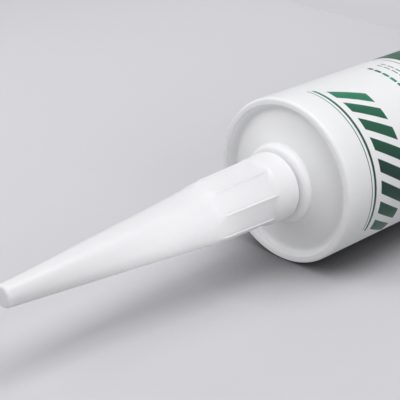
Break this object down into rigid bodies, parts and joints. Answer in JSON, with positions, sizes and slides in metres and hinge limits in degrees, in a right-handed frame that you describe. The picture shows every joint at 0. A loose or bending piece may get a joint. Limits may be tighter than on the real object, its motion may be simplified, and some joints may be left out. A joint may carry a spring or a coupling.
{
  "type": "caulk tube",
  "caption": "Round sealant cartridge: open-tailed barrel with a sunk head and rounded rim, a sliding plunger, and a long hollow screw-on nozzle with an eight-sided grip.",
  "frame": {"origin": "centre of the barrel's open tail rim, on the plane it stands on", "axes": "+Z along the tube's axis towards the nozzle's tip; +X and +Y square to it, with a ridge of the nozzle's grip towards +X"},
  "size_m": [0.05, 0.05, 0.3136],
  "materials": {
    "barrel": "satin white polyethylene with a printed green band",
    "nozzle": "smooth, slightly milky polyethylene",
    "plunger": "smooth moulded polyethylene",
    "sealant": "soft white paste"
  },
  "bodies": {
    "barrel": {"cartridge_barrel": "barrel", "sealant": "sealant"},
    "plunger": {"plunger": "plunger"},
    "nozzle": {"nozzle": "nozzle"}
  },
  "joints": [
    {"name": "plunger_slide", "type": "slide", "parent": "barrel", "child": "plunger", "axis": [0, 0, 1], "range_m": [0, 0.1765], "deforming": ["sealant"]},
    {"name": "nozzle_unscrew", "type": "slide", "parent": "barrel", "child": "nozzle", "axis": [0, 0, 1], "range_m": [0, 0.025]}
  ]
}
